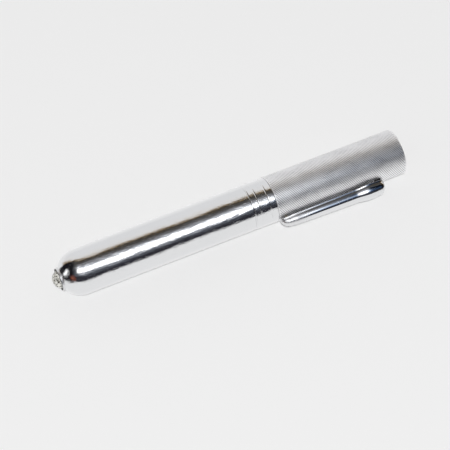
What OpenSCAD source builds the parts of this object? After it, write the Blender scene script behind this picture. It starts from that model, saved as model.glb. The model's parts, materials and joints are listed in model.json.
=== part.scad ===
// Pocket penlight for two AA cells, lying on its side.
// A round-nosed barrel holds a lens-end bulb and the cells. A slip-on cap carries
// the battery spring and a pocket clip, and the clip is also the lamp's switch.
// All lengths are in millimetres. Places along the torch are measured from the
// front of the nose lip towards the tail, and are named with _s.

/* [Barrel] */
// Outside diameter of the barrel
barrel_d = 16.4; // [14:0.1:19]
// Wall of the barrel
barrel_wall = 0.45; // [0.35:0.05:0.6]
// Diameter of the lamp hole in the nose
nose_hole_d = 7.5; // [7.2:0.1:8.5]
// How far the lip stands out of the round nose
lip_proud = 0.8; // [0.5:0.1:1.2]
// Wall of the lip
lip_wall = 0.6; // [0.4:0.1:1]
// Rounding of the lip's front edge
lip_round = 0.25; // [0.1:0.05:0.35]
// Distance of the deep ring from the barrel's back end
deep_ring_back = 8.6; // [7.5:0.1:10]
// Depth of the deep ring
deep_ring_depth = 0.22; // [0.1:0.02:0.28]
// Distances of the two fine rings from the barrel's back end
fine_ring_backs = [6.2, 2.4]; // [1.2:0.1:7]
// Depth of the fine rings
fine_ring_depth = 0.1; // [0.05:0.01:0.15]
// Radius of the roller that makes the rings
ring_roller_r = 0.35; // [0.25:0.05:0.5]
// How far the collar behind the deep ring stands out of the barrel
collar_h = 0.08; // [0.02:0.02:0.1]

/* [Joint sleeve] */
// Wall of the sleeve that the cap slips over
sleeve_wall = 0.35; // [0.25:0.05:0.45]
// Length of the sleeve inside the barrel
sleeve_in = 11; // [9:0.5:16]
// Distance from the sleeve's free end to the clip's foot
sleeve_back = 7; // [4:0.5:12]
// Number of slits in the free end
slit_count = 4; // [2:1:6]
// Width of a slit
slit_w = 0.6; // [0.3:0.1:1]
// Length of a slit
slit_len = 16; // [8:1:22]

/* [Bulb] */
// Length of the bulb
bulb_len = 23.4; // [22.5:0.1:26]
// How far the bulb's lens stands out of the lip
bulb_proud = 2.2; // [1.5:0.1:3]
// Gap between the bulb's lens and the lamp hole
lens_room = 0.35; // [0.2:0.05:0.6]
// Length of the lens's straight side
lens_side = 3; // [2:0.1:3.5]
// Length of the shoulder between the lens and the wide part of the glass
glass_shoulder = 2.5; // [1.5:0.1:3]
// Wall of the glass
glass_wall = 0.45; // [0.3:0.05:0.6]
// Thickness of glass between the lens's centre of curvature and the hollow
lens_back = 1.2; // [0.8:0.1:1.6]
// Depth of the glass inside the screw shell
glass_in_shell = 1.5; // [1:0.1:2.5]
// Diameter of the bulb's screw shell
shell_d = 9.5; // [9.3:0.05:9.8]
// Wall of the screw shell
shell_wall = 0.3; // [0.2:0.05:0.4]
// Length of the screw shell
shell_len = 8.5; // [7.5:0.1:9.5]
// Length of the black glass at the foot
foot_glass_len = 1.1; // [0.8:0.1:1.5]
// Diameter of the solder contact
tip_contact_d = 2.6; // [2:0.1:3.2]
// Length of the solder contact
tip_contact_len = 0.6; // [0.4:0.1:0.9]
// Diameter of a lead wire
lead_d = 0.4; // [0.3:0.05:0.5]
// Distance between the two lead wires
lead_gap = 2; // [1.6:0.1:2.4]
// Distance from the lens's front to the filament
filament_depth = 8; // [7.2:0.1:9]
// Diameter of the filament
filament_d = 0.25; // [0.15:0.05:0.35]
// Distance from the filament to the bead's front
bead_back = 2.5; // [2:0.1:3]
// Diameter of the bead
bead_d = 1.6; // [1.2:0.1:2]
// Length of the bead
bead_len = 3.4; // [3:0.1:4]

/* [Bulb holder] */
// Length of the screw socket
socket_len = 6.5; // [5:0.1:7]
// Wall of the screw socket
socket_wall = 0.6; // [0.4:0.1:1]
// Thickness of the holder's flange
holder_flange_t = 1.2; // [0.8:0.1:1.6]
// Distance from the holder's back to the end of the screw shell
holder_back = 1.5; // [1.2:0.1:2]
// Thickness of the insulating washer
washer_t = 0.6; // [0.4:0.1:0.8]
// Width of the insulating washer's ring
washer_w = 1.4; // [1.2:0.1:2.4]

/* [Cells] */
// Gap between the cells and the sleeve
cell_room = 0.38; // [0.3:0.02:0.6]
// Length of a cell with its positive nub
cell_len = 50; // [49.2:0.1:50.5]
// Diameter of the positive nub
nub_d = 5.4; // [4.5:0.1:5.5]
// Height of the positive nub
nub_h = 1.2; // [1:0.1:1.5]
// Diameter of the positive cap's flange
nub_flange_d = 8.5; // [7:0.1:10]
// Thickness of the sheet of the cell's end plates
cell_plate_t = 0.4; // [0.3:0.05:0.5]
// Thickness of the seal under the positive cap
seal_t = 1; // [0.8:0.1:1.5]
// Thickness of the jacket
jacket_t = 0.25; // [0.15:0.05:0.35]
// Distance from the negative plate's edge to the can's side
negative_in = 0.43; // [0.2:0.01:1]

/* [Cap] */
// How far the cap's side stands out of the barrel's side
cap_proud = 0.15; // [0.1:0.05:0.5]
// Length of the cap
cap_len = 50.5; // [46:0.5:56]
// Thickness of the cap's closed end
cap_end_t = 0.7; // [0.5:0.1:1]
// Rounding of the cap's back edge
cap_edge_r = 0.5; // [0.2:0.1:0.7]
// Gap between the barrel's back end and the cap
cap_gap = 0.2; // [0.1:0.05:0.4]

/* [Tail parts] */
// Length of the battery spring between the rear cell and the contact plate
spring_len = 5.15; // [4.6:0.05:7]
// Diameter of the spring through the middle of its wire
spring_d = 8.4; // [6:0.1:9.6]
// Diameter of the spring's wire
wire_d = 0.8; // [0.5:0.05:0.9]
// Number of curls of the spring
spring_turns = 3; // [2:1:3]
// Gap between the contact plate's edge and the foot's strip
plate_room = 0.66; // [0.2:0.02:1]
// Thickness of the contact plate
plate_t = 0.5; // [0.3:0.1:0.8]
// Length of the insulating plug
plug_len = 3.2; // [2.5:0.1:5]
// Diameter of the rivet's shank
rivet_d = 2; // [1.5:0.1:2.5]
// Diameter of the rivet's head
rivet_head_d = 3.6; // [3:0.1:4.5]
// Thickness of the rivet's head
rivet_head_t = 0.4; // [0.3:0.1:0.6]
// Depth of the rivet in the plug
rivet_depth = 2; // [1.5:0.1:2.3]
// Thickness of the insulating liner
liner_t = 0.2; // [0.15:0.05:0.25]
// Gap between the sleeve's free end and the liner
liner_gap = 0.8; // [0.5:0.1:1.5]

/* [Clip] */
// Angle of the clip below the horizontal, as the torch lies
clip_roll = 12; // [0:1:30]
// Distance of the clip's root end from the tail
clip_back = 9.5; // [8.5:0.1:14]
// Distance of the clip's tip behind the cap's front edge
clip_tip_in = 0.2; // [0:0.1:2]
// Height of the clip's centre line above the cap
clip_rise = 1.15; // [0.9:0.05:1.5]
// Depth of the clip's edges below its centre line
clip_edge_drop = 0.55; // [0.3:0.05:0.6]
// Half width of the clip at its root
root_r = 2.9; // [2.7:0.1:3.4]
// How far the clip swells out on each side
swell_rise = 0.8; // [0.3:0.05:1.1]
// Distance from the root end to the middle of the swelling
swell_back = 9.1; // [8:0.1:12]
// Half length of the swelling
swell_half = 4.8; // [4:0.1:6]
// Half width of the clip where its tip begins
strap_r = 2.3; // [2:0.1:2.6]
// Length of the tip
tip_len = 6.5; // [5:0.1:9]
// Half width of the tip's end
tip_r = 1.4; // [1.2:0.1:1.8]
// Wall of the clip
clip_wall = 0.55; // [0.4:0.05:0.6]
// Gap between the contact stud and the cap
stud_gap = 0.5; // [0.3:0.05:0.5]
// Diameter of the contact stud
stud_d = 1.3; // [1:0.1:1.4]
// Distance of the contact stud behind the clip's tip
stud_back = 2.8; // [2.5:0.1:4]

/* [Clip foot] */
// Thickness of the foot's strip
foot_t = 0.35; // [0.25:0.05:0.4]
// Width of the foot's strip
foot_w = 3; // [2.4:0.1:3.2]
// Thickness of the tongue that passes through the cap
tongue_t = 0.5; // [0.4:0.05:0.6]
// Diameter of the bar that the clip turns on
bar_d = 1.2; // [1:0.1:1.3]
// Wall of the clip's eye around the bar
eye_wall = 0.45; // [0.35:0.05:0.5]
// Gap between the eye and the bush under it
eye_gap = 0.3; // [0.2:0.05:0.5]
// Distance of the bar ahead of the clip's root end
bar_back = 2.4; // [2.2:0.1:2.8]
// Angle on each side of the tongue that the eye leaves free
eye_free_angle = 12; // [8:1:20]
// Wall of the slot's bush
bush_wall = 0.4; // [0.3:0.05:0.5]
// Height of the bush's rim above the cap
bush_rim_h = 0.3; // [0.2:0.05:0.4]
// Width of the bush's rim round the slot
bush_rim_w = 0.4; // [0.2:0.05:0.5]

/* [Fits] */
// Radial clearance between the sleeve and the cap
cap_fit = 0.03; // [0.02:0.01:0.06]
// Radial clearance between the bar and the clip's eye
bar_fit = 0.04; // [0.02:0.01:0.06]
// Clearance between pieces that are seated in each other
seat_fit = 0.02; // [0.01:0.01:0.03]
// Clearance round pieces that pass through a hole
pass_fit = 0.05; // [0.03:0.01:0.1]
// Clearance between the foot's strip and the liner
foot_fit = 0.03; // [0.02:0.01:0.05]

/* [Hidden] */
$fn = 96;
// Overrun of every cut past the face that it opens
cut = 1;

// Radii across the torch, from the outside in
barrel_r = barrel_d / 2;
barrel_in_r = barrel_r - barrel_wall;
hole_r = nose_hole_d / 2;
lip_r = hole_r + lip_wall;
sleeve_r = barrel_in_r - seat_fit;
sleeve_in_r = sleeve_r - sleeve_wall;
cap_r = barrel_r + cap_proud;
cap_in_r = sleeve_r + cap_fit;
liner_r = cap_in_r - seat_fit;
liner_in_r = liner_r - liner_t;
foot_r = liner_in_r - foot_fit;
foot_in_r = foot_r - foot_t;
cell_r = sleeve_in_r - cell_room;
can_r = cell_r - jacket_t - seat_fit;
negative_r = can_r - negative_in;
plate_r = foot_in_r - plate_room;
shell_r = shell_d / 2;
shell_in_r = shell_r - shell_wall;
glass_r = shell_in_r - seat_fit;
lens_r = hole_r - lens_room;
socket_r = shell_r + pass_fit;
flange_r = barrel_in_r - seat_fit;

// Places along the torch: the bulb, then the cells, then what stands behind them
nose_s = lip_proud + sqrt(barrel_r * barrel_r - hole_r * hole_r);
lens_s = lens_r - bulb_proud;
shell_end_s = bulb_len - bulb_proud - tip_contact_len - foot_glass_len;
shell_s = shell_end_s - shell_len;
contact_s = bulb_len - bulb_proud;
front_cell_s = contact_s;
rear_cell_s = front_cell_s + cell_len;
cells_end_s = rear_cell_s + cell_len;
plate_s = cells_end_s + spring_len;
leg_s = plate_s + plate_t;
plug_s = leg_s + foot_t;
cap_end_s = plug_s + plug_len;
tail_s = cap_end_s + cap_end_t;
cap_s = tail_s - cap_len;
barrel_end_s = cap_s - cap_gap;
holder_end_s = shell_end_s - holder_back;
filament_s = filament_depth - bulb_proud;
bead_s = filament_s + bead_back;

// The clip: its centre line runs along the torch, clip_axis_r from the torch's axis
clip_axis_r = cap_r + clip_rise;
clip_edge_r = clip_axis_r - clip_edge_drop;
clip_end_s = tail_s - clip_back;
clip_tip_s = cap_s + clip_tip_in;
root_s = clip_end_s - root_r;
swell_s = clip_end_s - swell_back;
tip_s = clip_tip_s + tip_len;
swell_steps = 3;
stud_s = clip_tip_s + stud_back;
tip_slope = (strap_r - tip_r) / (tip_len - tip_r);
stud_hollow_r = tip_r + (stud_back - tip_r) * tip_slope - clip_wall;
stud_r = min(stud_d / 2, stud_hollow_r - seat_fit);
stud_top_r = clip_axis_r + sqrt(stud_hollow_r * stud_hollow_r - stud_r * stud_r) - seat_fit;

// Half width of the clip's straight taper at place s
function taper_r(s) = strap_r + (root_r - strap_r) * (s - tip_s) / (root_s - tip_s);

// Points along the swelling, which rises and falls smoothly on the taper
swell_points = [
  for (i = [swell_steps : -1 : -swell_steps])
    let (
      share = i / swell_steps,
      s = swell_s + share * swell_half
    )
    [taper_r(s) + swell_rise * (1 + cos(180 * share)) / 2, s]
];

// The bar that the clip turns on stands over the bush of the cap's slot
bar_r = bar_d / 2;
eye_in_r = bar_r + bar_fit;
eye_r = eye_in_r + eye_wall;
bar_s = clip_end_s - bar_back;
bar_axis_r = cap_r + bush_rim_h + eye_gap + eye_r;
bush_l = tongue_t + 2 * (pass_fit + bush_wall);
bush_w = foot_w + 2 * (pass_fit + bush_wall);
sleeve_s = barrel_end_s - sleeve_in;
sleeve_end_s = bar_s - tongue_t / 2 - sleeve_back;
liner_s = sleeve_end_s + liner_gap;

// The part lies on the cap, with the origin under the middle of its box
widest_clip_r = max([for (p = swell_points) p[0]]);
middle_s = (tail_s - bulb_proud) / 2;
axis_y = (clip_axis_r * cos(clip_roll) + widest_clip_r - cap_r) / 2;
axis_z = cap_r;

// The spring: rings of points on a helix round the torch's axis
spring_rings_per_turn = 8;
spring_sides = 6;
spring_rings = spring_turns * spring_rings_per_turn;
spring_r = spring_d / 2;
wire_r = wire_d / 2;
spring_rise = spring_len - wire_d - 2 * seat_fit;
spring_pitch = spring_rise / spring_turns;

// Place on the wire's centre line at ring i
function spring_point(i) =
  let (a = 360 * i / spring_rings_per_turn)
  [
    cells_end_s + seat_fit + wire_r + spring_rise * i / spring_rings,
    spring_r * cos(a),
    spring_r * sin(a)
  ];

// Corner j of the wire's section at ring i, square to the helix
function spring_corner(i, j) =
  let (
    a = 360 * i / spring_rings_per_turn,
    b = 360 * j / spring_sides,
    lead = atan2(spring_pitch, 2 * PI * spring_r),
    outward = [0, cos(a), sin(a)],
    across = [cos(lead), sin(a) * sin(lead), -cos(a) * sin(lead)]
  )
  spring_point(i) + wire_r * (cos(b) * outward + sin(b) * across);

// Least gap between curls, measured from ring to ring at least half a curl apart
function spring_gap() =
  min([
    for (i = [0 : spring_rings])
      for (j = [i + spring_rings_per_turn / 2 : 1 : spring_rings])
        norm(spring_point(j) - spring_point(i)) - wire_d
  ]);
echo(least_gap_of_spring = spring_gap());

// Lays the torch on its cap with the clip at its angle
module lie() {
  translate([-middle_s, axis_y, axis_z]) rotate([clip_roll, 0, 0]) children();
}

// Turns a profile of [radius, place] points round the torch's axis
module turn() {
  rotate([0, 90, 0]) rotate_extrude() children();
}

// Rectangle of a turned profile
module band(s0, s1, r0, r1) {
  translate([r0, s0]) square([r1 - r0, s1 - s0]);
}

// Turned tube, or a rod where the inside radius is zero
module tube(s0, s1, r0, r1) {
  turn() band(s0, s1, r0, r1);
}

// Frame of the clip: X along the torch, Y outwards through the clip, Z across it
module at_clip() {
  rotate([180, 0, 0]) children();
}

// Block in the clip's frame, centred across it
module clip_block(s0, s1, r0, r1, w) {
  translate([s0, r0, -w / 2]) cube([s1 - s0, r1 - r0, w]);
}

// Rod across the clip
module cross_rod(s, r_place, r, w) {
  translate([s, r_place, -w / 2]) cylinder(h = w, r = r);
}

// Half disc of a turned profile, ahead of its centre
module front_half_disc(s, r) {
  intersection() {
    translate([0, s]) circle(r = r);
    band(s - r - cut, s, 0, r + cut);
  }
}

// Lip of the nose with a rounded front edge
module lip_profile() {
  lip_end_s = nose_s - sqrt(barrel_in_r * barrel_in_r - lip_r * lip_r);
  band(0, lip_end_s, 0, lip_r - lip_round);
  band(lip_round, lip_end_s, 0, lip_r);
  translate([lip_r - lip_round, lip_round]) circle(r = lip_round);
}

// Groove that a roller leaves in the barrel
module ring_groove(back, depth, surface_r) {
  translate([surface_r + ring_roller_r - depth, barrel_end_s - back]) circle(r = ring_roller_r);
}

module body_tube() {
  color("#d4d7db") lie() turn() difference() {
    union() {
      front_half_disc(nose_s, barrel_r);
      band(nose_s, barrel_end_s, 0, barrel_r);
      band(barrel_end_s - deep_ring_back, barrel_end_s, 0, barrel_r + collar_h);
      lip_profile();
    }
    front_half_disc(nose_s, barrel_in_r);
    band(nose_s, barrel_end_s + cut, 0, barrel_in_r);
    band(-cut, nose_s, 0, hole_r);
    ring_groove(deep_ring_back, deep_ring_depth, barrel_r);
    for (back = fine_ring_backs) ring_groove(back, fine_ring_depth, barrel_r + collar_h);
  }
}

module joint_sleeve() {
  color("#c8a24a") lie() difference() {
    tube(sleeve_s, sleeve_end_s, sleeve_in_r, sleeve_r);
    for (i = [0 : slit_count - 1])
      rotate([360 * (i + 1 / 2) / slit_count, 0, 0])
        translate([sleeve_end_s - slit_len, 0, -slit_w / 2])
          cube([slit_len + cut, sleeve_r + cut, slit_w]);
  }
}

module bulb_holder() {
  color("#b98f3c") lie() {
    turn() {
      band(holder_end_s - socket_len, holder_end_s, socket_r, socket_r + socket_wall);
      band(holder_end_s - holder_flange_t, holder_end_s, socket_r, flange_r);
    }
  }
}

module insulating_washer() {
  color("#7a3b2a") lie()
    tube(holder_end_s, holder_end_s + washer_t, flange_r - washer_w, flange_r);
}

// Outline of the bulb's glass, lens first
module glass_outline() {
  side_end_s = lens_s + lens_side;
  wide_s = side_end_s + glass_shoulder;
  front_half_disc(lens_s, lens_r);
  polygon([
    [0, lens_s], [lens_r, lens_s], [lens_r, side_end_s], [glass_r, wide_s],
    [glass_r, shell_s + glass_in_shell], [0, shell_s + glass_in_shell]
  ]);
}

// Hollow of the bulb's glass behind the lens
module glass_hollow() {
  side_end_s = lens_s + lens_side;
  wide_s = side_end_s + glass_shoulder;
  in_lens_r = lens_r - glass_wall;
  in_glass_r = glass_r - glass_wall;
  polygon([
    [0, lens_s + lens_back], [in_lens_r, lens_s + lens_back], [in_lens_r, side_end_s],
    [in_glass_r, wide_s], [in_glass_r, shell_s + glass_in_shell + cut],
    [0, shell_s + glass_in_shell + cut]
  ]);
}

module bulb_envelope() {
  color("#dfe6e6") lie() turn() difference() {
    glass_outline();
    glass_hollow();
  }
}

module bulb_screw_shell() {
  color("#c9a552") lie() turn() {
    band(shell_s, shell_end_s, shell_in_r, shell_r);
    band(shell_end_s - shell_wall, shell_end_s, tip_contact_d / 2, shell_r);
  }
}

module bulb_base_insulator() {
  color("#1c1c1e") lie() turn() polygon([
    [0, shell_end_s], [(shell_in_r + tip_contact_d / 2) / 2, shell_end_s],
    [tip_contact_d / 2, shell_end_s + foot_glass_len], [0, shell_end_s + foot_glass_len]
  ]);
}

module bulb_tip_contact() {
  color("#b9bcc0") lie() tube(contact_s - tip_contact_len, contact_s, 0, tip_contact_d / 2);
}

// Lies across the bulb, along the line of the two lead wires
module across_bulb(s, r, len) {
  translate([s, 0, 0]) rotate([90, 0, 0]) cylinder(h = len, r = r, center = true);
}

// The two lead wires, made thicker by extra to cut their holes
module lead_pair(s0, s1, extra) {
  for (side = [-1, 1])
    translate([0, side * lead_gap / 2, 0]) tube(s0, s1, 0, lead_d / 2 + extra);
}

module bulb_bead() {
  color("#9fb3a8") lie() difference() {
    across_bulb(bead_s + bead_d / 2, bead_d / 2, bead_len);
    lead_pair(bead_s - cut, bead_s + bead_d + cut, seat_fit);
  }
}

module bulb_lead_wires() {
  color("#a9a9ad") lie()
    lead_pair(filament_s + filament_d / 2 + seat_fit, shell_end_s - shell_wall - seat_fit, 0);
}

module bulb_filament() {
  color("#5e5e62") lie() across_bulb(filament_s, filament_d / 2, lead_gap + lead_d);
}

// A cell's pieces, for a cell whose nub begins at s
module cell_positive_cap(s) {
  color("#cfd2d4") lie() turn() {
    band(s, s + nub_h + cell_plate_t, 0, nub_d / 2);
    band(s + nub_h, s + nub_h + cell_plate_t, 0, nub_flange_d / 2);
  }
}

module cell_seal(s) {
  color("#2a2320") lie()
    tube(s + nub_h + cell_plate_t, s + nub_h + cell_plate_t + seal_t, 0, can_r);
}

module cell_can(s) {
  color("#9aa0a5") lie()
    tube(s + nub_h + cell_plate_t + seal_t, s + cell_len - cell_plate_t, 0, can_r);
}

module cell_jacket(s) {
  color("#2f4a6b") lie()
    tube(s + nub_h, s + cell_len - cell_plate_t / 2, can_r + seat_fit, cell_r);
}

module cell_negative_plate(s) {
  color("#c4c7ca") lie() tube(s + cell_len - cell_plate_t, s + cell_len, 0, negative_r);
}

module front_cell_can() cell_can(front_cell_s);
module front_cell_jacket() cell_jacket(front_cell_s);
module front_cell_seal() cell_seal(front_cell_s);
module front_cell_positive_cap() cell_positive_cap(front_cell_s);
module front_cell_negative_plate() cell_negative_plate(front_cell_s);
module rear_cell_can() cell_can(rear_cell_s);
module rear_cell_jacket() cell_jacket(rear_cell_s);
module rear_cell_seal() cell_seal(rear_cell_s);
module rear_cell_positive_cap() cell_positive_cap(rear_cell_s);
module rear_cell_negative_plate() cell_negative_plate(rear_cell_s);

// Outline of the cap with its back edge rounded
module cap_outline() {
  band(cap_s, tail_s, 0, cap_r - cap_edge_r);
  band(cap_s, tail_s - cap_edge_r, 0, cap_r);
  translate([cap_r - cap_edge_r, tail_s - cap_edge_r]) circle(r = cap_edge_r);
}

// Slot for the clip's foot and its bush, widened by extra on every side
module foot_slot(extra) {
  at_clip() clip_block(
    bar_s - bush_l / 2 - extra, bar_s + bush_l / 2 + extra,
    foot_in_r - cut, cap_r + cut, bush_w + 2 * extra
  );
}

module cap_shell() {
  color("#c3c6ca") lie() difference() {
    turn() difference() {
      cap_outline();
      band(cap_s - cut, cap_end_s, 0, cap_in_r);
    }
    foot_slot(seat_fit);
  }
}

module insulating_liner() {
  color("#8a5a3a") lie() difference() {
    tube(liner_s, plug_s - seat_fit, liner_in_r, liner_r);
    foot_slot(seat_fit);
  }
}

module tail_plug() {
  color("#26221f") lie() difference() {
    tube(plug_s, cap_end_s, 0, cap_in_r - seat_fit);
    tube(plug_s - cut, plug_s + rivet_depth, 0, rivet_d / 2 + seat_fit);
  }
}

module contact_plate() {
  color("#c9a552") lie() tube(plate_s, leg_s, rivet_d / 2 + seat_fit, plate_r);
}

// The curls as one unbroken tube, closed at both ends
module battery_spring() {
  last = spring_rings * spring_sides;
  points = [
    for (i = [0 : spring_rings]) for (j = [0 : spring_sides - 1]) spring_corner(i, j)
  ];
  walls = [
    for (i = [0 : spring_rings - 1]) for (j = [0 : spring_sides - 1])
      let (
        a = i * spring_sides + j,
        b = i * spring_sides + (j + 1) % spring_sides,
        c = a + spring_sides,
        d = b + spring_sides
      )
      each [[a, c, b], [b, c, d]]
  ];
  front_end = [for (j = [1 : spring_sides - 2]) [0, j, j + 1]];
  back_end = [for (j = [1 : spring_sides - 2]) [last, last + j + 1, last + j]];
  color("#b4b7ba") lie() polyhedron(points, concat(walls, front_end, back_end));
}

module plug_rivet() {
  color("#c9a552") lie() turn() {
    band(plate_s - rivet_head_t, plate_s, 0, rivet_head_d / 2);
    band(plate_s - rivet_head_t, plug_s + rivet_depth, 0, rivet_d / 2);
  }
}

module clip_foot() {
  color("#c9a552") lie() {
    at_clip() {
      cross_rod(bar_s, bar_axis_r, bar_r, foot_w);
      clip_block(bar_s - tongue_t / 2, bar_s + tongue_t / 2, foot_r - foot_t / 2, bar_axis_r, foot_w);
      intersection() {
        tube(bar_s - tongue_t / 2, plug_s, foot_in_r, foot_r);
        clip_block(bar_s - tongue_t, plug_s + cut, 0, foot_r + cut, foot_w);
      }
    }
    difference() {
      intersection() {
        at_clip() clip_block(leg_s, plug_s, -rivet_head_d / 2, foot_r + cut, foot_w);
        tube(leg_s - cut, plug_s + cut, 0, foot_r);
      }
      tube(leg_s - cut, plug_s + cut, 0, rivet_d / 2 + seat_fit);
    }
  }
}

module slot_bush() {
  rim_l = bush_l + 2 * bush_rim_w;
  rim_w = bush_w + 2 * bush_rim_w;
  hole_l = tongue_t + 2 * pass_fit;
  hole_w = foot_w + 2 * pass_fit;
  color("#1f1d1b") lie() difference() {
    union() {
      intersection() {
        at_clip() clip_block(bar_s - bush_l / 2, bar_s + bush_l / 2, 0, cap_r + cut, bush_w);
        tube(bar_s - bush_l, bar_s + bush_l, liner_in_r, cap_r + bush_rim_h);
      }
      intersection() {
        at_clip() clip_block(bar_s - rim_l / 2, bar_s + rim_l / 2, 0, cap_r + cut, rim_w);
        tube(bar_s - rim_l, bar_s + rim_l, cap_r + seat_fit, cap_r + bush_rim_h);
      }
    }
    at_clip() clip_block(bar_s - hole_l / 2, bar_s + hole_l / 2, 0, cap_r + cut, hole_w);
  }
}

// Half outline of the clip seen from outside, drawn in by inset for its hollow
module clip_outline(inset) {
  drawn_in = [inset, 0];
  intersection() {
    union() {
      translate([0, root_s]) circle(r = root_r - inset);
      polygon(concat(
        [[0, root_s], [root_r, root_s] - drawn_in],
        [for (p = swell_points) p - drawn_in],
        [[strap_r, tip_s] - drawn_in, [tip_r, clip_tip_s + tip_r] - drawn_in, [0, clip_tip_s + tip_r]]
      ));
      translate([0, clip_tip_s + tip_r]) circle(r = tip_r - inset);
    }
    band(clip_tip_s - cut, clip_end_s + cut, 0, widest_clip_r + cut);
  }
}

// The clip's form, turned round its own centre line and cut off at the radius low_r
module clip_form(inset, low_r) {
  intersection() {
    translate([0, clip_axis_r, 0]) turn() clip_outline(inset);
    clip_block(
      clip_tip_s - cut, clip_end_s + cut,
      low_r, clip_axis_r + widest_clip_r + cut, 2 * (widest_clip_r + cut)
    );
  }
}

// Eye on the clip's end wall that takes the foot's bar, before it is bored
module clip_eye() {
  cross_rod(bar_s, bar_axis_r, eye_r, foot_w);
  intersection() {
    clip_block(bar_s, clip_end_s, bar_axis_r - eye_r / 2, bar_axis_r + eye_r / 2, foot_w);
    clip_form(0, clip_edge_r);
  }
}

module pocket_clip() {
  mouth_l = tongue_t + 2 * (bar_axis_r - cap_r) * tan(eye_free_angle);
  eye_w = foot_w + 2 * pass_fit;
  color("#dadde0") lie() at_clip() difference() {
    union() {
      difference() {
        clip_form(0, clip_edge_r);
        clip_form(clip_wall, clip_edge_r - cut);
      }
      clip_eye();
    }
    cross_rod(bar_s, bar_axis_r, eye_in_r, eye_w);
    clip_block(bar_s - mouth_l / 2, bar_s + mouth_l / 2, cap_r, bar_axis_r, eye_w);
  }
}

module contact_stud() {
  color("#c9a552") lie() at_clip() {
    translate([stud_s, cap_r + stud_gap + stud_r, 0]) rotate([-90, 0, 0])
      cylinder(h = stud_top_r - cap_r - stud_gap - stud_r, r = stud_r);
    translate([stud_s, cap_r + stud_gap + stud_r, 0]) sphere(r = stud_r);
  }
}

body_tube();
joint_sleeve();
bulb_holder();
insulating_washer();
bulb_envelope();
bulb_screw_shell();
bulb_base_insulator();
bulb_tip_contact();
bulb_bead();
bulb_lead_wires();
bulb_filament();
front_cell_can();
front_cell_jacket();
front_cell_seal();
front_cell_positive_cap();
front_cell_negative_plate();
rear_cell_can();
rear_cell_jacket();
rear_cell_seal();
rear_cell_positive_cap();
rear_cell_negative_plate();
cap_shell();
insulating_liner();
tail_plug();
contact_plate();
battery_spring();
plug_rivet();
clip_foot();
slot_bush();
pocket_clip();
contact_stud();
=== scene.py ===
import json
import math

import bmesh
import bpy
import numpy as np
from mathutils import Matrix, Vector


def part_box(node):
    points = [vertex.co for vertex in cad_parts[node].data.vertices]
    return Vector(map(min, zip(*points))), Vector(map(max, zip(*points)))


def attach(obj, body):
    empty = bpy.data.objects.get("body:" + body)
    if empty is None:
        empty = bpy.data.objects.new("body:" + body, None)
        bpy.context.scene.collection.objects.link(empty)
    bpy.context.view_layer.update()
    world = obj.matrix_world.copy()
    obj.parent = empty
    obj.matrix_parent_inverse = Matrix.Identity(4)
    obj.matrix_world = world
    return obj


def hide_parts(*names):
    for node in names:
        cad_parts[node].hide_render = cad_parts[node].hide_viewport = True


# Looks of a two-cell pocket torch. Lengths are in metres and angles in degrees.
# Places along the torch are named with _S and measured from its nose lip to its tail.

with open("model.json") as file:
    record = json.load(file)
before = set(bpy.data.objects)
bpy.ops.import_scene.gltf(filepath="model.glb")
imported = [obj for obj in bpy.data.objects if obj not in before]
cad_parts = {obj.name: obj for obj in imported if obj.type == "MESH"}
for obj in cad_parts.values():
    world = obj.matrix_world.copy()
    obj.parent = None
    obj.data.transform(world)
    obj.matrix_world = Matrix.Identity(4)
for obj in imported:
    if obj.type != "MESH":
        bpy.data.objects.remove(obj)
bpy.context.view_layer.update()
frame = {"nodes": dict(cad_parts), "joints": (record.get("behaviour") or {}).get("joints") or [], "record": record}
scene = bpy.context.scene
nodes = frame["nodes"]
MM = 0.001

# What the frame gives: the torch's axis, its ends and the way the clip faces
mounts = {m["name"]: m for m in frame["record"]["mounts"]}
joints = {j["name"]: j for j in frame["joints"]}
AXIS = Vector(mounts["barrel_grip"]["pos_m"])
BARREL_R = mounts["barrel_grip"]["dims"]["r_mm"] * MM
tube_low, tube_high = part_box("body_tube")
cap_low, cap_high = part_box("cap_shell")
sleeve_low, sleeve_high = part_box("joint_sleeve")
plug_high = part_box("tail_plug")[1]
clip_low, clip_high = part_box("pocket_clip")
LIP_X = tube_low.x
JOINT_CLOSING = 0.16 * MM
BARREL_END_S = tube_high.x - LIP_X + JOINT_CLOSING
CAP_S = cap_low.x - LIP_X
TAIL_S = cap_high.x - LIP_X
CAP_END_S = plug_high.x - LIP_X
CAP_R = (cap_high.z - cap_low.z) / 2
SLEEVE_R = (sleeve_high.z - sleeve_low.z) / 2
CLIP_TIP_S = clip_low.x - LIP_X
CLIP_END_S = clip_high.x - LIP_X
HINGE = Vector(joints["clip_press"]["pos_m"])
ALONG = Vector((1, 0, 0))
UP = Vector((0, 0, 1))
ACROSS = Vector(joints["clip_press"]["axis"]).normalized()
OUT = ALONG.cross(ACROSS)
HINGE_S = HINGE.x - LIP_X
HINGE_R = (HINGE - AXIS).dot(OUT)

# Meshes: nearer points are merged, slivers go, and edges past a crease angle are sharp
MERGE = 0.001 * MM
SLIVER = 0.0005 * MM
CREASE = 40.0
CLIP_CREASE = 50.0


def torch_point(s, out, across):
    """Place in the frame of a point along the torch, out towards the clip and across the clip."""
    return Vector((LIP_X + s, AXIS.y, AXIS.z)) + OUT * out + ACROSS * across


def new_piece(name, mesh, body, slot, *replaced):
    """Object of a finished mesh that rides on a body and stands for CAD nodes."""
    piece = bpy.data.objects.new(name, mesh)
    scene.collection.objects.link(piece)
    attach(piece, body)
    if replaced:
        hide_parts(*replaced)
    return piece


def smooth(mesh, crease=CREASE):
    mesh.shade_smooth()
    mesh.set_sharp_from_angle(angle=math.radians(crease))


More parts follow.
